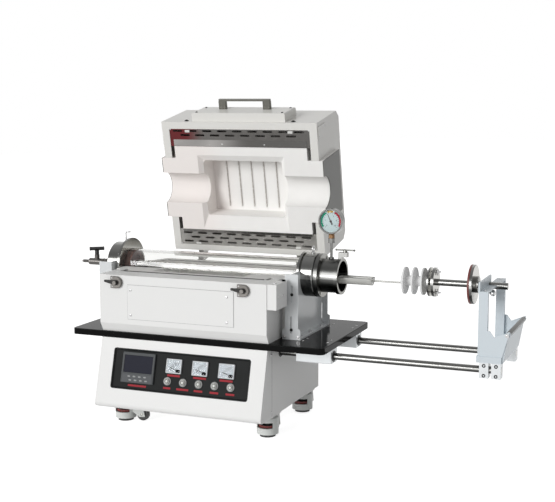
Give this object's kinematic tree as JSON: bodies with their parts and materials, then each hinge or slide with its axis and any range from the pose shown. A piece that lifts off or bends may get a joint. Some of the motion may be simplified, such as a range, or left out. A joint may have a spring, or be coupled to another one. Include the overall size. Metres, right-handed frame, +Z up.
{
  "type": "tube furnace",
  "caption": "Split tube furnace on a levelling caster cabinet: hinged fibre-lined lid, flanged process tube, gauge and a sliding rail carriage that pushes a sample boat in.",
  "frame": {"origin": "middle of the footprint of the whole object, on the floor, with the levelling feet down, lid open and carriage drawn out", "axes": "+X along the process tube towards the loading carriage, +Y from the operator's side to the back, +Z up"},
  "size_m": [1.434, 0.747, 1.0039],
  "materials": {
    "white_enamel": "smooth white enamel",
    "warm_enamel": "warm light grey enamel",
    "pale_enamel": "pale blue-grey enamel",
    "panel_black": "satin black",
    "worktop_black": "gloss black",
    "dark_plastic": "satin",
    "white_plastic": "satin",
    "chrome_trim": "polished",
    "block_aluminium": "satin anodised",
    "fibre": "rigid matt ceramic fibreboard",
    "coil_wire": "oxidised heating wire",
    "zinc_grey": "satin",
    "polished_steel": "polished stainless steel",
    "quartz_tube": "milky quartz",
    "quartz_boat": "clear quartz",
    "black_rubber": "matt",
    "vent_steel": "perforated bright sheet",
    "handle_aluminium": "brushed",
    "ground_steel": "ground and polished",
    "silicone_red": "matt silicone",
    "white_ceramic": "matt",
    "dark_steel": "satin",
    "button_cap": "gloss",
    "caster_plastic": "gloss",
    "wheel_nylon": "satin"
  },
  "bodies": {
    "furnace": {"cabinet_shell": "white_enamel", "cabinet_front": "white_enamel", "control_panel": "panel_black", "controller": "dark_plastic", "panel_meters": "white_plastic", "button_bezels": "chrome_trim", "worktop": "worktop_black", "bearing_blocks": "block_aluminium", "housing_shell": "white_enamel", "lower_insulation": "fibre", "lower_coils": "coil_wire", "latch_bases": "zinc_grey", "hinge_brackets": "polished_steel", "process_tube": "quartz_tube", "left_flange": "polished_steel", "left_stand": "pale_enamel", "gas_valve": "polished_steel", "right_flange": "polished_steel", "flange_gasket": "black_rubber", "nozzle": "polished_steel", "right_stand": "pale_enamel", "pressure_gauge": "polished_steel"},
    "lid": {"lid_shell": "warm_enamel", "lid_insulation": "fibre", "lid_vents": "vent_steel", "lid_coils": "coil_wire", "lid_box": "warm_enamel", "lid_handle": "handle_aluminium", "hinge_arms": "polished_steel"},
    "carriage": {"slide_rails": "ground_steel", "rail_clamps": "block_aluminium", "carriage_frame": "pale_enamel", "carriage_handle": "pale_enamel", "push_rod": "ground_steel", "door_flange": "polished_steel", "door_seal": "silicone_red", "heat_baffles": "white_ceramic", "sample_boat": "quartz_boat"},
    "button_1": {"push_button_1": "button_cap"},
    "button_2": {"push_button_2": "button_cap"},
    "button_3": {"push_button_3": "button_cap"},
    "button_4": {"push_button_4": "button_cap"},
    "button_5": {"push_button_5": "button_cap"},
    "pointer": {"gauge_pointer": "dark_plastic"},
    "valve_knob": {"valve_handle": "dark_plastic"},
    "mouth_screw": {"clamp_screw": "polished_steel"},
    "latch_left": {"latch_lever_left": "dark_steel"},
    "latch_right": {"latch_lever_right": "dark_steel"},
    "swivel_1": {"caster_1": "caster_plastic"},
    "wheel_1": {"caster_wheel_1": "wheel_nylon"},
    "foot_1": {"levelling_foot_1": "black_rubber"},
    "swivel_2": {"caster_2": "caster_plastic"},
    "wheel_2": {"caster_wheel_2": "wheel_nylon"},
    "foot_2": {"levelling_foot_2": "black_rubber"},
    "swivel_3": {"caster_3": "caster_plastic"},
    "wheel_3": {"caster_wheel_3": "wheel_nylon"},
    "foot_3": {"levelling_foot_3": "black_rubber"},
    "swivel_4": {"caster_4": "caster_plastic"},
    "wheel_4": {"caster_wheel_4": "wheel_nylon"},
    "foot_4": {"levelling_foot_4": "black_rubber"}
  },
  "joints": [
    {"name": "lid_hinge", "type": "hinge", "parent": "furnace", "child": "lid", "pos_m": [-0.242, 0.15566, 0.4493], "axis": [1, 0, 0], "range_deg": [0, 78.2]},
    {"name": "carriage_slide", "type": "slide", "parent": "furnace", "child": "carriage", "axis": [-1, 0, 0], "range_m": [0, 0.3895]},
    {"name": "button_1_press", "type": "slide", "parent": "furnace", "child": "button_1", "axis": [0, 0.9655, -0.2606], "range_m": [0, 0.003], "stiffness_N_per_m": 400, "springref_m": -0.001},
    {"name": "button_2_press", "type": "slide", "parent": "furnace", "child": "button_2", "axis": [0, 0.9655, -0.2606], "range_m": [0, 0.003], "stiffness_N_per_m": 400, "springref_m": -0.001},
    {"name": "button_3_press", "type": "slide", "parent": "furnace", "child": "button_3", "axis": [0, 0.9655, -0.2606], "range_m": [0, 0.003], "stiffness_N_per_m": 400, "springref_m": -0.001},
    {"name": "button_4_press", "type": "slide", "parent": "furnace", "child": "button_4", "axis": [0, 0.9655, -0.2606], "range_m": [0, 0.003], "stiffness_N_per_m": 400, "springref_m": -0.001},
    {"name": "button_5_press", "type": "slide", "parent": "furnace", "child": "button_5", "axis": [0, 0.9655, -0.2606], "range_m": [0, 0.003], "stiffness_N_per_m": 400, "springref_m": -0.001},
    {"name": "pointer_turn", "type": "hinge", "parent": "furnace", "child": "pointer", "pos_m": [0.15, -0.10964, 0.639], "axis": [0, 1, 0], "range_deg": [-109, 161]},
    {"name": "valve_turn", "type": "hinge", "parent": "furnace", "child": "valve_knob", "pos_m": [-0.663, -0.10064, 0.4735], "axis": [0, 0, 1], "range_deg": [0, 90]},
    {"name": "clamp_turn", "type": "hinge", "parent": "furnace", "child": "mouth_screw", "pos_m": [0.194, -0.10064, 0.5325], "axis": [0, 0, 1], "continuous": true},
    {"name": "latch_left_turn", "type": "hinge", "parent": "furnace", "child": "latch_left", "pos_m": [-0.456, -0.33664, 0.4515], "axis": [0, 1, 0], "range_deg": [0, 90]},
    {"name": "latch_right_turn", "type": "hinge", "parent": "furnace", "child": "latch_right", "pos_m": [-0.0375, -0.33664, 0.4515], "axis": [0, 1, 0], "range_deg": [0, 90]},
    {"name": "caster_1_swivel", "type": "hinge", "parent": "furnace", "child": "swivel_1", "pos_m": [-0.484, -0.24064, 0.06], "axis": [0, 0, 1], "continuous": true},
    {"name": "caster_1_roll", "type": "hinge", "parent": "swivel_1", "child": "wheel_1", "pos_m": [-0.422, -0.24064, 0.0225], "axis": [0, 1, 0], "continuous": true},
    {"name": "foot_1_lift", "type": "slide", "parent": "swivel_1", "child": "foot_1", "axis": [0, 0, 1], "range_m": [0, 0.01]},
    {"name": "caster_2_swivel", "type": "hinge", "parent": "furnace", "child": "swivel_2", "pos_m": [0, -0.24064, 0.06], "axis": [0, 0, 1], "continuous": true},
    {"name": "caster_2_roll", "type": "hinge", "parent": "swivel_2", "child": "wheel_2", "pos_m": [0, -0.17864, 0.0225], "axis": [1, 0, 0], "continuous": true},
    {"name": "foot_2_lift", "type": "slide", "parent": "swivel_2", "child": "foot_2", "axis": [0, 0, 1], "range_m": [0, 0.01]},
    {"name": "caster_3_swivel", "type": "hinge", "parent": "furnace", "child": "swivel_3", "pos_m": [-0.484, 0.05136, 0.06], "axis": [0, 0, 1], "continuous": true},
    {"name": "caster_3_roll", "type": "hinge", "parent": "swivel_3", "child": "wheel_3", "pos_m": [-0.422, 0.05136, 0.0225], "axis": [0, 1, 0], "continuous": true},
    {"name": "foot_3_lift", "type": "slide", "parent": "swivel_3", "child": "foot_3", "axis": [0, 0, 1], "range_m": [0, 0.01]},
    {"name": "caster_4_swivel", "type": "hinge", "parent": "furnace", "child": "swivel_4", "pos_m": [0, 0.05136, 0.06], "axis": [0, 0, 1], "continuous": true},
    {"name": "caster_4_roll", "type": "hinge", "parent": "swivel_4", "child": "wheel_4", "pos_m": [0, 0.11336, 0.0225], "axis": [1, 0, 0], "continuous": true},
    {"name": "foot_4_lift", "type": "slide", "parent": "swivel_4", "child": "foot_4", "axis": [0, 0, 1], "range_m": [0, 0.01]}
  ]
}
